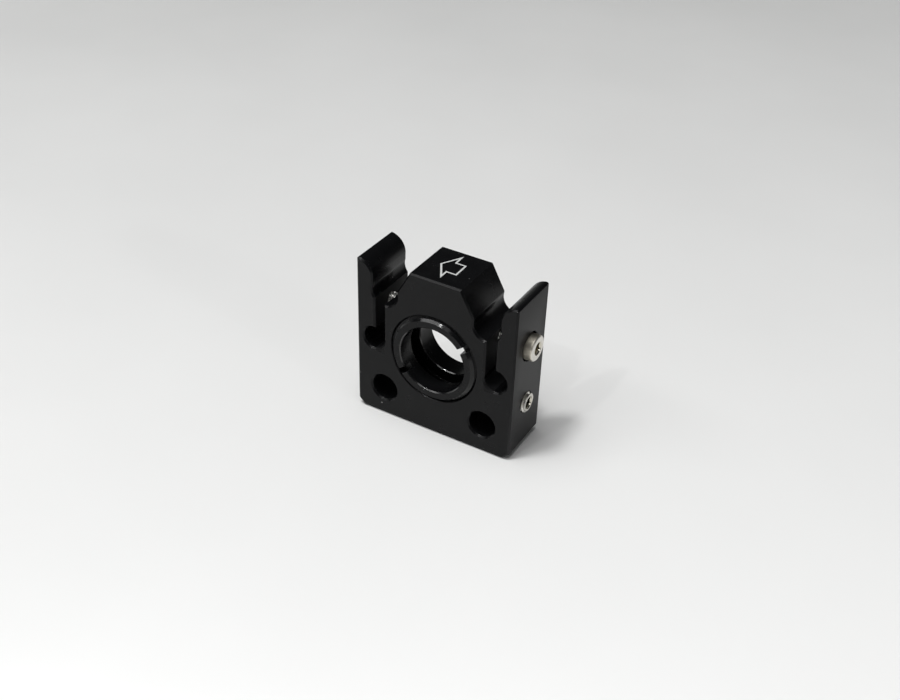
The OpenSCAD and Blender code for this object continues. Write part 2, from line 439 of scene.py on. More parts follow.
@cache
def thread_tree() -> Tree:
    """Builds the tree that makes a threaded rod: a grid wound round Z.

    The grid's rows follow the helix, so crests and roots are clean lines. A row
    past either end is held at that end, and welding takes it away.

    Returns:
        The Geometry Nodes tree.
    """
    inputs = {
        "Major Radius": mm(1),
        "Minor Radius": mm(0.8),
        "Pitch": mm(0.4),
        "Start": 0.0,
        "End": mm(5),
        "Start Radius": mm(0.8),
        "End Radius": mm(0.8),
        "Segments": 72,
        "Internal": False,
        "Material": "NodeSocketMaterial",
    }
    outputs = {"Geometry": "NodeSocketGeometry"}
    t = Tree.group("threaded_rod", inputs, outputs, "GeometryNodeTree")
    given = t.inputs()
    steps = Thread.STEPS
    length = t.math("SUBTRACT", given["End"], given["Start"])
    pitches = t.math("ADD", t.math("CEIL", t.math("DIVIDE", length, given["Pitch"])), 1.0)
    ends = 3.0  # the row that ends the last pitch, and one more at each end that closes it
    rows = t.math("ADD", t.math("MULTIPLY", pitches, float(steps)), ends)
    grid = t.node(
        "GeometryNodeMeshGrid",
        {
            "Size X": 1.0,
            "Size Y": 1.0,
            "Vertices X": rows,
            "Vertices Y": t.math("ADD", given["Segments"], 1.0),
        },
    )
    at = t.split(t.node("GeometryNodeInputPosition").outputs[0])
    last_row = t.math("SUBTRACT", rows, 1.0)
    row = t.math("ROUND", t.math("MULTIPLY", t.math("ADD", at[0], 0.5), last_row))
    turn = t.math("ADD", at[1], 0.5)

    row_phase = t.math("DIVIDE", t.math("SUBTRACT", row, 1.0), float(steps))
    climb = t.math("SUBTRACT", t.math("ADD", row_phase, turn), 1.0)
    free_z = t.math("ADD", given["Start"], t.math("MULTIPLY", climb, given["Pitch"]))
    z = t.math("MAXIMUM", t.math("MINIMUM", free_z, given["End"]), given["Start"])

    from_start = t.math("SUBTRACT", z, given["Start"])
    from_end = t.math("SUBTRACT", given["End"], z)
    held_climb = t.math("DIVIDE", from_start, given["Pitch"])
    phase = t.math("ADD", t.math("SUBTRACT", held_climb, turn), 1.0)
    off_crest = t.math("ABSOLUTE", t.math("SUBTRACT", t.math("FRACT", phase), 0.5))
    major, minor = given["Major Radius"], given["Minor Radius"]
    profile = t.remap(off_crest, Thread.ROD_FLANK, (major, minor))
    profile_in = t.remap(off_crest, Thread.TAP_FLANK, (minor, major))
    rod = t.math(
        "MINIMUM",
        t.math("MINIMUM", profile, t.math("ADD", given["Start Radius"], from_start)),
        t.math("ADD", given["End Radius"], from_end),
    )
    tap = t.math(
        "MAXIMUM",
        t.math("MAXIMUM", profile_in, t.math("SUBTRACT", given["Start Radius"], from_start)),
        t.math("SUBTRACT", given["End Radius"], from_end),
    )
    radius = t.node(
        "GeometryNodeSwitch", {0: given["Internal"], 1: rod, 2: tap}, input_type="FLOAT"
    ).outputs[0]
    capped = t.math(
        "MULTIPLY",
        t.math("GREATER_THAN", row, 0.5),
        t.math("LESS_THAN", row, t.math("SUBTRACT", last_row, 0.5)),
    )
    radius = t.math("MULTIPLY", radius, capped)
    angle = t.math("MULTIPLY", turn, math.tau)
    place = t.node(
        "ShaderNodeCombineXYZ",
        {
            0: t.math("MULTIPLY", radius, t.math("COSINE", angle)),
            1: t.math("MULTIPLY", radius, t.math("SINE", angle)),
            2: z,
        },
    )
    wound = t.node("GeometryNodeSetPosition", {"Geometry": grid.outputs[0], "Position": place.outputs[0]})
    welded = t.node("GeometryNodeMergeByDistance", {"Geometry": wound.outputs[0], "Distance": WELD})
    real = t.node("GeometryNodeRealizeInstances", {0: welded.outputs[0]})
    done = t.node("GeometryNodeSetMaterial", {"Geometry": real.outputs[0], "Material": given["Material"]})
    return t.finish(Geometry=done.outputs[0])


# ---- finishes


@cache
def grain_group() -> Tree:
    """Builds the fine grain of a blasted or tumbled surface.

    Returns:
        The group.
    """
    inputs = {"Vector": VECTOR, "Grain per Metre": 12000.0, "Cloud per Metre": 400.0}
    t = Tree.group("grain", inputs, {"Height": FLOAT, "Cloud": FLOAT})
    given = t.inputs()
    pit_share, cloud_range = 0.6, (0.3, 0.7)
    fine = t.noise(given["Vector"], given["Grain per Metre"], detail=2.0, rough=0.6)
    pits = t.node(
        "ShaderNodeTexVoronoi",
        {"Vector": given["Vector"], "Scale": given["Grain per Metre"], "Randomness": 1.0},
        feature="SMOOTH_F1",
    )
    cloud = t.noise(given["Vector"], given["Cloud per Metre"], detail=3.0, rough=0.55)
    pitted = t.math("MULTIPLY", pits.outputs["Distance"], pit_share)
    return t.finish(Height=t.math("ADD", fine, pitted), Cloud=t.remap(cloud, cloud_range))


@cache
def edge_wear_group() -> Tree:
    """Builds the mask of worn edges: where a rounded normal leaves the true one.

    Returns:
        The group.
    """
    inputs = {"Vector": VECTOR, "Width": mm(0.12), "Breaks per Metre": 1500.0}
    t = Tree.group("edge_wear", inputs, {"Mask": FLOAT, "Normal": VECTOR})
    given = t.inputs()
    turn_range, break_range = (0.01, 0.12), (0.42, 0.7)
    rounded = t.node("ShaderNodeBevel", {"Radius": given["Width"]}, samples=6)
    flat = t.node("ShaderNodeNewGeometry")
    along = t.dot(rounded.outputs[0], flat.outputs["Normal"])
    edge = t.remap(t.math("SUBTRACT", 1.0, along), turn_range)
    breaks = t.noise(given["Vector"], given["Breaks per Metre"], detail=4.0, rough=0.7)
    mask = t.math("MULTIPLY", edge, t.remap(breaks, break_range))
    return t.finish(Mask=mask, Normal=rounded.outputs[0])


@cache
def cut_edge_group() -> Tree:
    """Builds the mask of the 45 degree edge breaks, which a cutter leaves smooth.

    Each of them slopes evenly between the plate's face and its side, so its
    normal stands at 45 degrees to Y.

    Returns:
        The group.
    """
    t = Tree.group("cut_edge", {"Normal": VECTOR}, {"Mask": FLOAT})
    along = t.split(t.inputs()["Normal"])[Y]
    off = t.math("ABSOLUTE", t.math("SUBTRACT", t.math("ABSOLUTE", along), math.sqrt(0.5)))
    fades_out, full = 0.12, 0.06
    return t.finish(Mask=t.remap(off, (fades_out, full)))


@cache
def rim_group() -> Tree:
    """Builds the mask of a narrow rim round Y, given by its radius and its place.

    Returns:
        The group.
    """
    inputs = {"Vector": VECTOR, "Radius": mm(5), "Place": mm(5), "Reach": mm(0.1)}
    t = Tree.group("rim", inputs, {"Mask": FLOAT})
    given = t.inputs()
    vector, reach = given["Vector"], given["Reach"]
    near_radius = t.math("COMPARE", t.radius(vector, Y), given["Radius"], reach)
    near_place = t.math("COMPARE", t.split(vector)[Y], given["Place"], reach)
    return t.finish(Mask=t.math("MULTIPLY", near_radius, near_place))


@cache
def dust_group() -> Tree:
    """Builds the mask of fine dust: small round specks, few and far between.

    Returns:
        The group.
    """
    inputs = {"Vector": VECTOR, "Specks per Metre": 900.0, "Share": 0.05, "Size": 0.08}
    t = Tree.group("dust", inputs, {"Mask": FLOAT})
    given = t.inputs()
    cells = t.node(
        "ShaderNodeTexVoronoi", {"Vector": given["Vector"], "Scale": given["Specks per Metre"]}
    )
    chance = t.node("ShaderNodeSeparateColor", {0: cells.outputs["Color"]})
    chosen = t.math("LESS_THAN", chance.outputs[0], given["Share"])
    smallest = 0.4  # the least share of the size that a speck has
    size = t.math("MULTIPLY", given["Size"], t.math("ADD", smallest, chance.outputs[1]))
    near = t.math("LESS_THAN", cells.outputs["Distance"], size)
    return t.finish(Mask=t.math("MULTIPLY", chosen, near))


@cache
def nick_and_glint_group() -> Tree:
    """Builds the mask of one bright spot, a small ragged chip at a given place, which also serves as a
    painted glint.

    Returns:
        The group.
    """
    inputs = {"Vector": VECTOR, "Place": VECTOR, "Radius": mm(0.2), "Rags per Metre": 6000.0}
    t = Tree.group("nick", inputs, {"Mask": FLOAT})
    given = t.inputs()
    ragged = t.noise(given["Vector"], given["Rags per Metre"], detail=2.0)
    away = t.node(
        "ShaderNodeVectorMath", {0: given["Vector"], 1: given["Place"]}, operation="DISTANCE"
    )
    least = 0.4  # how far the spot reaches at the least, as a share of its radius
    reach = t.math("MULTIPLY", given["Radius"], t.math("ADD", least, ragged))
    return t.finish(Mask=t.math("LESS_THAN", away.outputs["Value"], reach))


@dataclass(frozen=True)
class Finish:
    """What every finish has: its name, its grain and how it is made."""

    name: str
    grain_depth: float = 0.0
    grain_per_m: float = 12000.0
    cloud_per_m: float = 400.0

    def start(self) -> tuple[bpy.types.Material, Tree, Node, Socket]:
        """Starts a material.

        Returns:
            The material, its tree, its shader and its Object coordinates.
        """
        material = bpy.data.materials.new(self.name)
        material.use_nodes = True
        material.node_tree.nodes.clear()
        t = Tree(material.node_tree)
        shader = t.node("ShaderNodeBsdfPrincipled")
        t.node("ShaderNodeOutputMaterial", {"Surface": shader.outputs[0]})
        place = t.node("ShaderNodeTexCoord").outputs["Object"]
        return material, t, shader, place

    def grain(self, t: Tree, place: Socket) -> Any:
        """Returns the Height and the Cloud of the finish's grain."""
        scales = {"Grain per Metre": self.grain_per_m, "Cloud per Metre": self.cloud_per_m}
        return t.place(grain_group(), {"Vector": place, **scales})

    def dress(self, t: Tree, shader: Node, colour: Any, rough: Any, bump: dict[str, Any]) -> None:
        """Gives a shader its colour, its roughness and a bump of the grain's depth.

        Args:
            t: the material's tree.
            shader: the shader.
            colour: the base colour, as a socket or a constant.
            rough: the roughness, as a socket or a constant.
            bump: the bump's height and, where it has one, the normal below it.
        """
        made = t.node("ShaderNodeBump", {"Strength": 1.0, "Distance": self.grain_depth, **bump})
        t.put(shader.inputs["Base Color"], colour)
        t.put(shader.inputs["Roughness"], rough)
        t.put(shader.inputs["Normal"], made.outputs[0])


@dataclass(frozen=True)
class AnodisedFinish(Finish):
    """Dyed anodising on aluminium, dull where blasted and finer where cut.

    A cut is an edge break at 45 degrees. One more cut, the glossy rim, is given
    by its radius, its place along Y and its reach. The sawn walls lie where X,
    whatever its sign, and Z each come within a reach of a middle. So do the flat
    sides, for X alone.
    """

    colour: Colour = (0.0026, 0.0027, 0.0030)
    pale: Colour = (0.0038, 0.0040, 0.0044)
    worn: Colour = (0.10, 0.10, 0.105)
    wear: float = 0.55
    edge_width: float = mm(0.07)
    dust: Colour = (0.09, 0.09, 0.09)
    # Bright spots of bare metal where the dye has chipped, which also stand in as painted glints.
    bare_and_glint: Colour = (0.3, 0.3, 0.29)
    nicks_and_glints: tuple[tuple[Point3, float], ...] = ()
    roughness: Point2 = (0.22, 0.28)
    specular: float = 0.161
    grain_depth: float = mm(0.0016)
    grain_per_m: float = 14000.0
    grain_middle: float = 0.5
    turned: bool = False
    tool_marks_per_m: float = 9000.0
    tool_marks_height: Point2 = (-0.8, 0.8)
    cut_roughness: float = 0.24
    cut_grain: float = 0.2
    cut_gloss: float = 0.0
    glossy_rim: Point3 = (0.0, 0.0, 0.0)
    coat_roughness: float = 0.12
    sawn_x: Point2 = (0.0, 0.0)
    sawn_z: Point2 = (0.0, 0.0)
    sawn_roughness: float = 0.6
    side_x: Point2 = (1.0, 0.0)
    side_roughness: float = 0.36

    def material(self) -> bpy.types.Material:
        """Builds the material.

        Returns:
            The material.
        """
        material, t, shader, place = self.start()
        grain = self.grain(t, place)
        wear = t.place(edge_wear_group(), {"Vector": place, "Width": self.edge_width})
        specks = t.place(dust_group(), {"Vector": place})
        faces = t.node("ShaderNodeTexCoord").outputs["Normal"]
        cut = t.place(cut_edge_group(), {"Normal": faces})["Mask"]
        height = t.math("SUBTRACT", grain["Height"], self.grain_middle)
        if self.turned:
            height = t.math("ADD", height, self.tool_marks(t, place))
        height = t.math("MULTIPLY", height, t.remap(cut, (0, 1), (1.0, self.cut_grain)))

        colour = t.blend_colours(grain["Cloud"], self.colour, self.pale)
        colour = t.blend_colours(t.math("MULTIPLY", wear["Mask"], self.wear), colour, self.worn)
        colour = t.blend_colours(specks["Mask"], colour, self.dust)
        rough = t.remap(grain["Cloud"], (0, 1), self.roughness)
        rough = t.blend(cut, rough, self.cut_roughness)
        rough = t.blend(self.sawn(t, place), rough, self.sawn_roughness)
        rough = t.blend(self.beside(t, place), rough, self.side_roughness)
        # Bright spots: chipped dye, partly painted glints.
        for spot, radius in self.nicks_and_glints:
            nick = t.place(nick_and_glint_group(), {"Vector": place, "Place": spot, "Radius": radius})
            colour = t.blend_colours(nick["Mask"], colour, self.bare_and_glint)
        self.dress(t, shader, colour, rough, {"Height": height, "Normal": wear["Normal"]})
        t.put(shader.inputs["Specular IOR Level"], self.specular)
        radius, at, reach = self.glossy_rim
        rim = t.place(rim_group(), {"Vector": place, "Radius": radius, "Place": at, "Reach": reach})
        gloss = t.remap(rim["Mask"], (0, 1), (self.cut_gloss, 1.0))
        t.put(shader.inputs["Coat Weight"], t.math("MULTIPLY", cut, gloss))
        t.put(shader.inputs["Coat Roughness"], self.coat_roughness)
        return material

    def beside(self, t: Tree, place: Socket) -> Socket:
        """Returns 1 on the flat outer side faces, which are a little duller."""
        return t.math("COMPARE", t.math("ABSOLUTE", t.split(place)[X]), *self.side_x)

    def sawn(self, t: Tree, place: Socket) -> Socket:
        """Returns 1 inside the slots that free the arms, whose walls are sawn dull."""
        across = t.math("COMPARE", t.math("ABSOLUTE", t.split(place)[X]), *self.sawn_x)
        return t.math("MULTIPLY", across, t.math("COMPARE", t.split(place)[Z], *self.sawn_z))

    def tool_marks(self, t: Tree, place: Socket) -> Socket:
        """Returns the height of the rings that a lathe tool leaves round Y."""
        at = t.node("ShaderNodeCombineXYZ", {0: t.radius(place, Y), 1: t.split(place)[Y]}).outputs[0]
        return t.remap(t.noise(at, self.tool_marks_per_m, detail=1.0), (0, 1), self.tool_marks_height)


@dataclass(frozen=True)
class SteelFinish(Finish):
    """Bright stainless steel, turned and tumbled, with a little grime.

    It is for a screw whose axis runs along X through the centre. The wall of
    its head, its socket (the core) and its shank differ from its end face: the wall
    and the socket are painted darker, painted shade, and the shank is painted
    lighter, a painted highlight.
    """

    centre: Point3 = (0.0, 0.0, 0.0)
    colour: Colour = (0.72, 0.70, 0.65)
    grime: Colour = (0.56, 0.54, 0.49)
    grime_range: Point2 = (0.5, 0.72)
    roughness: Point2 = (0.31, 0.39)
    edge_width: float = mm(0.05)
    grain_depth: float = mm(0.00006)
    grain_per_m: float = 16000.0
    cloud_per_m: float = 1300.0
    scratches_per_m: float = 2500.0
    scratch_narrowing: float = 9.0
    scratch_share: float = 0.3
    # The head's wall is painted darker: painted shade, as the wall reflects a dark room.
    wall: Colour = (0.49, 0.46, 0.39)
    wall_roughness: float = 0.48
    wall_from: float = mm(1.76)
    wall_fade: float = mm(0.11)
    # The socket and its mouth are painted darker: painted shade in the recess.
    core: Colour = (0.58, 0.55, 0.47)
    core_r: float = mm(1.0)
    # The shank is painted lighter than the head: a painted highlight that whitens the glints on its
    # thread.
    shank: Colour = (0.95, 0.95, 0.92)
    shank_from: float = mm(0.1)
    bright_roughness: float = 0.2

    def material(self) -> bpy.types.Material:
        """Builds the material.

        Returns:
            The material.
        """
        material, t, shader, place = self.start()
        shift = tuple(-c for c in self.centre)
        local = t.node("ShaderNodeMapping", {"Vector": place, "Location": shift}).outputs[0]
        grain = self.grain(t, local)
        wear = t.place(edge_wear_group(), {"Vector": place, "Width": self.edge_width})
        scratch = self.scratches(t, local)
        relief = t.math("MULTIPLY", scratch, self.scratch_share)
        height = t.math("ADD", grain["Height"], relief)
        radius = t.radius(local, X)
        wall = t.remap(radius, (self.wall_from, self.wall_from + self.wall_fade))
        core = t.math("LESS_THAN", radius, self.core_r)
        shank = self.shank_mask(t, local)
        grime = t.math("MULTIPLY", t.remap(scratch, self.grime_range), grain["Cloud"])
        colour = t.blend_colours(grime, self.colour, self.grime)
        # Painted shade on the head's wall.
        colour = t.blend_colours(wall, colour, self.wall)
        # Painted shade in the socket.
        colour = t.blend_colours(core, colour, self.core)
        # Painted highlight on the shank.
        colour = t.blend_colours(shank, colour, self.shank)
        rough = t.blend(wall, t.remap(grain["Cloud"], (0, 1), self.roughness), self.wall_roughness)
        rough = t.blend(t.math("MAXIMUM", core, shank), rough, self.bright_roughness)
        self.dress(t, shader, colour, rough, {"Height": height, "Normal": wear["Normal"]})
        t.put(shader.inputs["Metallic"], 1.0)
        return material

    def scratches(self, t: Tree, local: Socket) -> Socket:
        """Draws the fine marks that run round the screw's axis.

        Args:
            t: the material's tree.
            local: the place, from the screw's centre.

        Returns:
            Their height.
        """
        scale = (self.scratch_narrowing, 1.0, 1.0)
        narrow = t.node("ShaderNodeMapping", {"Vector": local, "Scale": scale}).outputs[0]
        return t.noise(narrow, self.scratches_per_m, detail=3.0, rough=0.7)

    def shank_mask(self, t: Tree, local: Socket) -> Socket:
        """Returns 1 on what lies inwards of the screw's centre."""
        way = (-math.copysign(1, self.centre[0]), 0.0, 0.0)
        return t.math("GREATER_THAN", t.dot(local, way), self.shank_from)


@dataclass(frozen=True)
class MarkFinish(Finish):
    """The pale surface that a laser leaves where it burns the dye away."""

    colour: Colour = (0.66, 0.67, 0.66)
    shade: Colour = (0.5, 0.51, 0.5)
    roughness: float = 0.65
    grain_depth: float = mm(0.002)
    grain_per_m: float = 15000.0
    cloud_per_m: float = 5000.0

    def material(self) -> bpy.types.Material:
        """Builds the material.

        Returns:
            The material.
        """
        material, t, shader, place = self.start()
        grain = self.grain(t, place)
        colour = t.blend_colours(grain["Cloud"], self.colour, self.shade)
        self.dress(t, shader, colour, self.roughness, {"Height": grain["Height"]})
        return material


# ---- sub-assemblies


def clothe(owner: Object, *finishes: Finish) -> None:
    """Gives an object the materials of its finishes, in their order.

    Args:
        owner: the object.
        finishes: its finishes.
    """
    owner.data.materials.clear()
    for finish in finishes:
        owner.data.materials.append(finish.material())


@dataclass
class CagePlate:
    """The machined plate, with its lens thread and the arrow on its top."""

    bore_r: float = mm(6.8)
    thread_minor: float = mm(6.42)
    thread_pitch: float = mm(0.635)
    thread_from: float = mm(2.62)
    thread_to: float = mm(4.84)
    sleeve_grip: float = mm(0.15)
    aperture_r: float = mm(5.08)
    seat_depth: float = mm(4.85)
    seat_rim: float = mm(0.12)
    mark_depth: float = mm(0.02)
    mark_line: float = mm(0.27)
    overlap: float = mm(0.05)
    # Middle and reach of the slots that free the arms, across and up.
    slot_x: Point2 = (mm(8.8), mm(0.76))
    slot_z: Point2 = (mm(2.5), mm(4.6))
    side_reach: float = mm(0.01)

    # The arrow's centre line, as x and y on the block's top.
    ARROW = (
        (-1.75, 4.55), (-0.2, 7.35), (-0.15, 5.75), (1.35, 5.75),
        (1.4, 3.1), (-0.1, 3.1), (-0.1, 1.75),
    )
    # Bright spots with their radii: chipped dye, partly painted glints.
    NICKS_AND_GLINTS = (
        ((-8.41, 0.0, -10.86), 0.10), ((-11.86, 0.0, 12.15), 0.09),
        ((12.25, 0.1, 12.05), 0.05), ((8.0, 0.05, 5.98), 0.16),
    )

    def build(self) -> Object:
        """Builds and dresses the plate.

        Returns:
            The plate, which stands for its CAD node.
        """
        plate = merged_copy("cage_plate", "plate_dressed")
        plate = combine(plate, self.threaded_sleeve(), Cut.JOINED)
        plate = combine(plate, self.arrow_cutter(), Cut.AWAY)
        shade_by_angle(plate)
        nicks_and_glints = tuple((tuple(mm(c) for c in spot), mm(r)) for spot, r in self.NICKS_AND_GLINTS)
        half = self.seat_rim / 2
        finish = AnodisedFinish(
            "plate_black",
            nicks_and_glints=nicks_and_glints,
            glossy_rim=(self.aperture_r + half, self.seat_depth + half, self.seat_rim),
            side_x=(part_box("cage_plate")[1].x, self.side_reach),
            sawn_x=self.slot_x,
            sawn_z=self.slot_z,
        )
        clothe(plate, finish, MarkFinish("laser_mark"))
        self.dress_mark(plate)
        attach(plate, "plate")
        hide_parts("cage_plate")
        return plate

    def threaded_sleeve(self) -> Object:
        """Makes the threaded wall of the bore behind the ring, as a sleeve.

        Returns:
            The sleeve.
        """
        outer, low, high = self.bore_r + self.sleeve_grip, self.thread_from, self.thread_to
        sleeve = lathe("lens_thread", [(0, low), (outer, low), (outer, high), (0, high)], ROUND)
        tap = Thread(
            major_radius=self.bore_r,
            minor_radius=self.thread_minor,
            pitch=self.thread_pitch,
            start=low - self.overlap,
            end=high + self.overlap,
            start_radius=self.bore_r + self.overlap,
            end_radius=self.bore_r + self.overlap,
            segments=ROUND,
            internal=True,
        )
        combine(sleeve, tap.solid("tap"), Cut.AWAY)
        return moved(sleeve, LAY_BACK)

    def arrow_cutter(self) -> Object:
        """Makes the solid that engraves the arrow's outline into the block's top.

        Returns:
            The solid.
        """
        centre = [Vector(mm(c) for c in p) for p in self.ARROW]
        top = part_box("cage_plate")[1].z
        low, high, past = top - self.mark_depth, top + self.mark_depth, self.mark_depth / 2
        half = self.mark_line / 2
        outer = prism("arrow_cutter", offset_outline(centre, half), low, high)
        inner = prism("arrow_core", offset_outline(centre, -half), low - past, high + past)
        return combine(outer, inner, Cut.AWAY)

    def dress_mark(self, plate: Object) -> None:
        """Gives the engraved floor the mark's material.

        Args:
            plate: the plate.
        """
        floor_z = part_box("cage_plate")[1].z - self.mark_depth
        level = 0.9  # a face whose normal's Z is above this lies flat
        for face in plate.data.polygons:
            if abs(face.center.z - floor_z) < self.mark_depth / 4 and abs(face.normal.z) > level:
                face.material_index = 1


def offset_outline(points: Sequence[Vector], distance: float) -> list[Point2]:
    """Moves a closed clockwise outline outwards, its corners mitred.

    Args:
        points: the outline's corners.
        distance: how far it moves; below 0, it moves inwards.

    Returns:
        The corners of the moved outline.
    """
    moved_points = []
    for k, point in enumerate(points):
        before = (point - points[k - 1]).normalized()
        after = (points[(k + 1) % len(points)] - point).normalized()
        sides = [Vector((-way.y, way.x)) for way in (before, after)]
        mitre = (sides[0] + sides[1]) / (1 + sides[0].dot(sides[1]))
        corner = point + mitre * distance
        moved_points.append((corner.x, corner.y))
    return moved_points


@dataclass
class RetainingRing:
    """The ring that holds a lens, threaded outside, with two spanner slots."""

    front: float = mm(-0.42)
    back: float = mm(2.58)
    thread_r: float = mm(6.75)
    thread_minor: float = mm(6.42)
    pitch: float = mm(0.635)
    face_r: float = mm(6.13)
    inner_r: float = mm(5.08)
    inner_chamfer: float = mm(0.15)
    back_chamfer: float = mm(0.2)
    slot_w: float = mm(0.85)
    slot_depth: float = mm(1.4)
    slot_angle: float = math.radians(36)
    slot_break: float = mm(0.06)
    segments: int = 128

    def build(self) -> Object:
        """Builds and dresses the ring.

        Returns:
            The ring, which stands for its CAD node.
        """
        thread = Thread(
            major_radius=self.thread_r,
            minor_radius=self.thread_minor,
            pitch=self.pitch,
            start=self.front,
            end=self.back,
            start_radius=self.face_r,
            end_radius=self.thread_r - self.back_chamfer,
            segments=self.segments,
        )
        ring = thread.solid("ring_dressed")
        combine(ring, self.bore_cutter(), Cut.AWAY)
        for turn in (0, math.pi):
            combine(ring, self.slot_cutter(turn), Cut.AWAY)
        moved(ring, LAY_BACK)
        shade_by_angle(ring)
        half = self.inner_chamfer / 2
        finish = AnodisedFinish(
            "ring_black",
            glossy_rim=(self.inner_r + half, self.front + half, self.inner_chamfer),
            roughness=(0.24, 0.31),
            cut_roughness=0.2,
            cut_grain=0.05,
            cut_gloss=0.28,
            edge_width=mm(0.03),
            grain_depth=mm(0.0005),
            turned=True,
            wear=0.35,
        )
        clothe(ring, finish)
        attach(ring, "ring")
        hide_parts("retaining_ring")
        return ring

    def bore_cutter(self) -> Object:
        """Makes the solid that bores the ring and chamfers its inner edges.

        Returns:
            The solid.
        """
        clear = mm(0.3)
        return lathe(
            "ring_bore",
            [
                (0, self.front - clear),
                (self.inner_r + self.inner_chamfer + clear, self.front - clear),
                (self.inner_r, self.front + self.inner_chamfer),
                (self.inner_r, self.back - self.back_chamfer),
                (self.inner_r + self.back_chamfer + clear, self.back + clear),
                (0, self.back + clear),
            ],
            self.segments,
        )

    def slot_cutter(self, turn: float) -> Object:
        """Makes one slot's cutter, which flares where it leaves the ring's face.

        Args:
            turn: the slot's angle from the first slot.

        Returns:
            The cutter.
        """
        half, wide = self.slot_w / 2, self.slot_w / 2 + self.slot_break * 3
        floor, lip = self.front + self.slot_depth, self.front + self.slot_break
        above = self.front - self.slot_break * 2
        right = [(wide, above), (half, lip), (half, floor)]
        outline = [(-x, y) for x, y in reversed(right)] + right
        past = mm(1)
        cutter = prism("ring_slot", outline, self.inner_r - past, self.thread_r + past)
        # The prism stands along Z; laid down, it runs outwards along X.
        lay = Matrix(((0, 0, 1, 0), (1, 0, 0, 0), (0, 1, 0, 0), (0, 0, 0, 1)))
        return moved(cutter, Matrix.Rotation(turn - self.slot_angle, 4, "Z") @ lay)


@dataclass
class Screw:
    """What both kinds of screw share: side, place, hex socket and steel.

    A screw is built upright along Z, and then laid along X with its point
    inwards. Its place, at_x to at_z, is that of the upright screw's origin.
    """

    side: Side
    kind: str
    socket_depth: float
    at_x: float
    at_z: float
    at_y: float = mm(4.4)
    length: float = mm(5)
    socket: float = mm(1.5)
    socket_edge: float = mm(0.13)
    drill_angle: float = math.radians(118)
    segments: int = 48

    def build(self) -> Object:
        """Builds and dresses the screw on its side of the plate.

        Returns:
            The screw, which stands for its CAD node.
        """
        word = self.side.name.lower()
        body, node = f"{self.kind}_{word}", f"{self.kind}_screw_{word}"
        screw = self.solid(f"{node}_dressed")
        self.seat(screw)
        shade_by_angle(screw)
        centre = (self.side.value * self.at_x, self.at_y, self.at_z)
        clothe(screw, SteelFinish(f"steel_{body}", centre=centre))
        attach(screw, body)
        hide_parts(node)
        return screw

    def solid(self, name: str) -> Object:
        """Makes the upright screw; each kind has its own way."""
        raise NotImplementedError(name)

    def socket_cutter(self, top: float) -> Object:
        """Makes the solid that cuts the hex socket down from a height.

        Args:
            top: the height of the screw's end.

        Returns:
            The solid.
        """
        corner = self.socket / 2 / math.cos(math.pi / 6)
        turns = [math.tau * k / 6 for k in range(6)]
        hexagon = [(corner * math.cos(a), corner * math.sin(a)) for a in turns]
        floor, past, clear = top - self.socket_depth, mm(0.1), mm(0.5)
        cutter = prism("socket", hexagon, floor, top + clear)
        point = self.socket / 2 / math.tan(self.drill_angle / 2)
        cone = [(0, floor - point), (self.socket / 2, floor), (0, floor + past)]
        combine(cutter, lathe("socket_drill", cone, self.segments), Cut.JOINED)
        rim = corner + self.socket_edge
        mouth = [(0, top - rim), (rim + past, top + past), (0, top + past)]
        return combine(cutter, lathe("socket_mouth", mouth, self.segments), Cut.JOINED)

    def seat(self, screw: Object) -> None:
        """Lays the upright screw on its side and moves it to its place.

        Args:
            screw: the screw.
        """
        place = Matrix.Translation((self.at_x, self.at_y, self.at_z))
        moved(screw, place @ Matrix.Rotation(math.pi / 2, 4, "Y"))
        if self.side is Side.LEFT:
            moved(screw, Matrix.Rotation(math.pi, 4, "Z"))
            moved(screw, Matrix.Translation((0, 2 * self.at_y, 0)))


@dataclass
class ClampScrew(Screw):
    """A cap screw that draws a sprung arm against its rod."""

    kind: str = "clamp"
    thread_r: float = mm(1.0)
    thread_minor: float = mm(0.76)
    pitch: float = mm(0.4)
    socket_depth: float = mm(1)
    at_x: float = mm(11.62)
    at_z: float = mm(4.4)
    point: float = mm(0.2)
    head_r: float = mm(1.88)
    head_h: float = mm(2)
    head_round: float = mm(0.3)
    round_steps: int = 8
    head_break: float = mm(0.05)

    def solid(self, name: str) -> Object:
        """Makes the upright screw, its head's underside at 0.

        Args:
            name: the object's name.

        Returns:
            The object.
        """
        screw = self.head(name)
        shank = Thread(
            major_radius=self.thread_r,
            minor_radius=self.thread_minor,
            pitch=self.pitch,
            start=-self.length,
            end=self.head_break * 2,
            start_radius=self.thread_r - self.point,
            end_radius=self.thread_minor,
            segments=self.segments,
        )
        combine(screw, shank.solid("shank"), Cut.JOINED)
        return combine(screw, self.socket_cutter(self.head_h), Cut.AWAY)

    def head(self, name: str) -> Object:
        """Turns the cap head, its top rim round and its lower rim broken.

        Args:
            name: the object's name.

        Returns:
            The object.
        """
        turn = self.head_round
        out, up = self.head_r - turn, self.head_h - turn
        angles = quarter_turn(self.round_steps)
        rim = [(out + turn * math.cos(a), up + turn * math.sin(a)) for a in angles]
        foot = [(0, 0), (self.head_r - self.head_break, 0), (self.head_r, self.head_break)]
        return lathe(name, [*foot, *rim, (0, self.head_h)], ROUND)


@dataclass
class SetScrew(Screw):
    """A cone-point set screw that locks a lower rod."""

    kind: str = "set"
    thread_r: float = mm(1.5)
    thread_minor: float = mm(1.19)
    pitch: float = mm(0.5)
    socket_depth: float = mm(2)
    at_x: float = mm(7.95)
    at_z: float = mm(-4.95)
    chamfer: float = mm(0.17)
    thread_segments: int = 64

    def solid(self, name: str) -> Object:
        """Makes the upright screw, its point at 0.

        Args:
            name: the object's name.

        Returns:
            The object.
        """
        thread = Thread(
            major_radius=self.thread_r,
            minor_radius=self.thread_minor,
            pitch=self.pitch,
            start=0.0,
            end=self.length,
            start_radius=0.0,
            end_radius=self.thread_r - self.chamfer,
            segments=self.thread_segments,
        )
        return combine(thread.solid(name), self.socket_cutter(self.length), Cut.AWAY)


# ---- studio


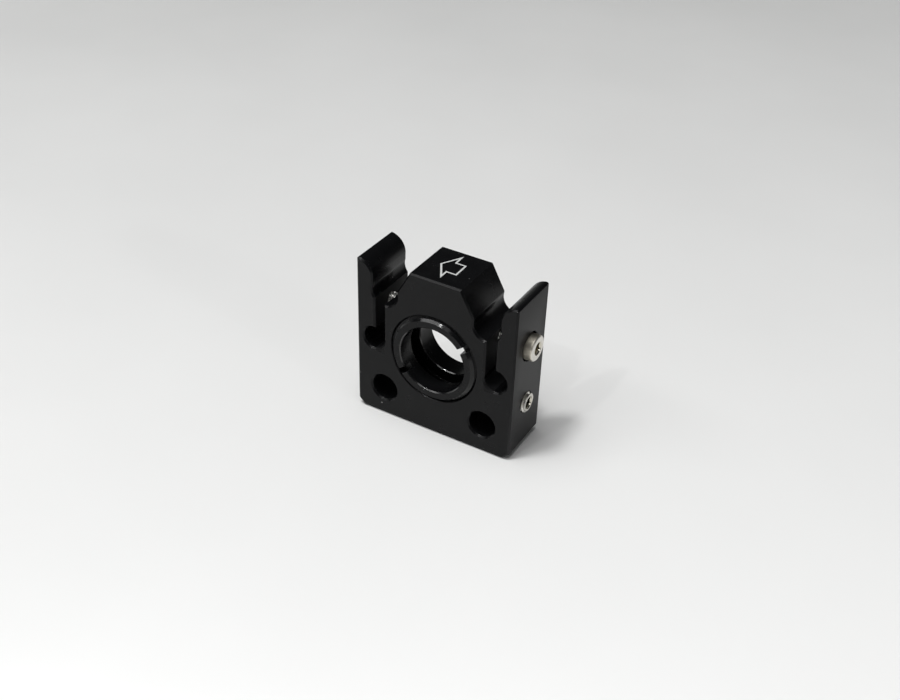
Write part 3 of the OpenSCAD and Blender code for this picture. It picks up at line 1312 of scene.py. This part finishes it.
@dataclass(frozen=True)
class Lamp:
    """An oval lamp that faces the object, with its length and its width as size."""

    name: str
    way: Point3
    distance: float
    size: Point2
    watts: float
    along: Point3 = (1.0, 0.0, 0.0)

    def hang(self) -> None:
        """Hangs the lamp at its distance, its length along the direction given."""
        made = bpy.data.lights.new(self.name, "AREA")
        made.shape = "ELLIPSE"
        made.size, made.size_y = self.size
        made.energy = self.watts
        owner = new_object(self.name, made)
        back = Vector(self.way).normalized()
        across = back.cross(Vector(self.along)).normalized()
        turn = Matrix((across.cross(back), across, back)).transposed().to_4x4()
        owner.matrix_world = Matrix.Translation(back * self.distance) @ turn


LAMPS = (
    Lamp("main_lamp", (-0.19, -0.23, 1.0), distance=1.8, size=(0.24, 0.24), watts=10.55),
    Lamp("soft_box", (-0.14, -0.16, 1.0), distance=1.6, size=(1.2, 1.2), watts=11.8),
    Lamp("window", (-0.50, -0.52, 0.69), 1.6, (1.2, 0.20), 3.4, along=(0.864, -0.33, 0.379)),
    Lamp("far_window", (0.06, -0.69, 0.72), 1.6, (0.44, 0.16), 0.36, along=(0.9, -0.2, -0.05)),
    Lamp("side_lamp", (0.909, -0.213, 0.359), distance=1.4, size=(0.10, 0.10), watts=1.2),
    Lamp("front_lamp", (-0.165, -0.63, 0.758), distance=1.4, size=(0.04, 0.04), watts=1.28),
)


@dataclass
class Studio:
    """The pale table, the lights and the camera. None of it is the object."""

    camera_at: Point3 = (66.35, -113.0, 92.64)
    camera_target: Point3 = (0.166, 4.4, -0.887)
    camera_roll: float = math.radians(2.083)
    focal_px: float = 1167.26
    picture_w: float = 900
    sensor: float = 36
    clip: Point2 = (0.005, 10)
    table_r: float = 0.62
    wall_h: float = 0.20
    bend_r: float = 0.2
    bend_steps: int = 12
    table_roughness: float = 0.75
    table_specular: float = 0.2
    clouds_per_m: float = 18.0
    cloud_range: Point2 = (0.3, 0.7)
    cloud_depth: Point2 = (-0.02, 0.02)
    # From table_near the table darkens with distance: painted shade that stands in for the lamps'
    # falloff.
    table_near: Colour = (0.952, 0.953, 0.944)
    table_far: Colour = (0.225, 0.228, 0.222)
    painted_falloff_towards: Point3 = (-0.42, 0.907, 0.0)
    painted_falloff_from: Point2 = (-0.05, 0.62)
    painted_falloff_power: float = 0.62
    # Painted shade on the table to the right of the object, which darkens what its sides reflect.
    shade_towards: Point3 = (0.98, 0.2, 0.0)
    shade_from: Point2 = (0.068, 0.26)
    table_shade: Colour = (0.12, 0.121, 0.12)
    wall_light: Colour = (0.05, 0.051, 0.053)
    ceiling_light: Colour = (0.45, 0.45, 0.455)
    ceiling_from: Point2 = (0.80, 0.96)

    def build(self) -> None:
        """Builds the camera, the table, the lamps and the world."""
        self.camera()
        self.table()
        for lamp in LAMPS:
            lamp.hang()
        self.world()
        bpy.context.scene.view_settings.view_transform = "Standard"

    def camera(self) -> None:
        """Sets the camera at the viewing angle, rolled as it was held."""
        made = bpy.data.cameras.new("camera")
        made.sensor_width = self.sensor
        made.lens = self.focal_px * self.sensor / self.picture_w
        made.clip_start, made.clip_end = self.clip
        owner = new_object("camera", made)
        at, target = (Vector(mm(c) for c in p) for p in (self.camera_at, self.camera_target))
        turn = (target - at).to_track_quat("-Z", "Y").to_matrix().to_4x4()
        roll = Matrix.Rotation(self.camera_roll, 4, "Z")
        owner.matrix_world = Matrix.Translation(at) @ turn @ roll
        bpy.context.scene.camera = owner

    def table(self) -> None:
        """Makes the round table top, which turns up into a low wall far away."""
        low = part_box("cage_plate")[0].z
        bend = self.bend_r
        flat_r = self.table_r - bend
        angles = quarter_turn(self.bend_steps)
        curve = [(flat_r + bend * math.sin(a), low + bend * (1 - math.cos(a))) for a in angles]
        profile = [(0.0, low), *curve, (self.table_r, low + self.wall_h)]
        table = lathe("table", profile, ROUND, closed=False)
        table.data.shade_smooth()
        table.data.materials.append(self.table_material())

    def table_material(self) -> bpy.types.Material:
        """Builds the table's pale matt material, with painted shade: it darkens with distance, standing
        in for the lamps' falloff, and darkens on the right.

        Returns:
            The material.
        """
        material, t, shader, place = Finish("table_white").start()
        # Painted shade: the colour darkens with distance, standing in for the lamps' falloff.
        away = t.remap(t.dot(place, self.painted_falloff_towards), self.painted_falloff_from)
        cloud = t.noise(place, self.clouds_per_m, detail=3.0)
        cloud = t.remap(cloud, self.cloud_range, self.cloud_depth)
        dim = t.math("ADD", t.math("POWER", away, self.painted_falloff_power), cloud)
        # Painted shade on the right of the table.
        shade = t.remap(t.dot(place, self.shade_towards), self.shade_from)
        colour = t.blend_colours(dim, self.table_near, self.table_far)
        t.put(shader.inputs["Base Color"], t.blend_colours(shade, colour, self.table_shade))
        t.put(shader.inputs["Roughness"], self.table_roughness)
        t.put(shader.inputs["Specular IOR Level"], self.table_specular)
        return material

    def world(self) -> None:
        """Sets the room's light: a bright ceiling over dim walls."""
        made = bpy.data.worlds.new("room")
        made.use_nodes = True
        t = Tree(made.node_tree)
        way = t.node("ShaderNodeTexCoord").outputs["Generated"]
        overhead = t.remap(t.split(way)[Z], self.ceiling_from)
        light = t.blend_colours(overhead, self.wall_light, self.ceiling_light)
        t.put(made.node_tree.nodes["Background"].inputs["Color"], light)
        bpy.context.scene.world = made


def main() -> None:
    """Builds the studio and the sub-assemblies, and reports each piece."""
    logging.basicConfig(level=logging.INFO, format="%(name)s: %(message)s")
    Studio().build()
    makers = [CagePlate(), RetainingRing()]
    for side in Side:
        makers += [ClampScrew(side), SetScrew(side)]
    for maker in makers:
        piece = maker.build()
        mesh = piece.data
        log.info("%s: %d vertices, %d faces", piece.name, len(mesh.vertices), len(mesh.polygons))


if __name__ == "__main__":
    main()
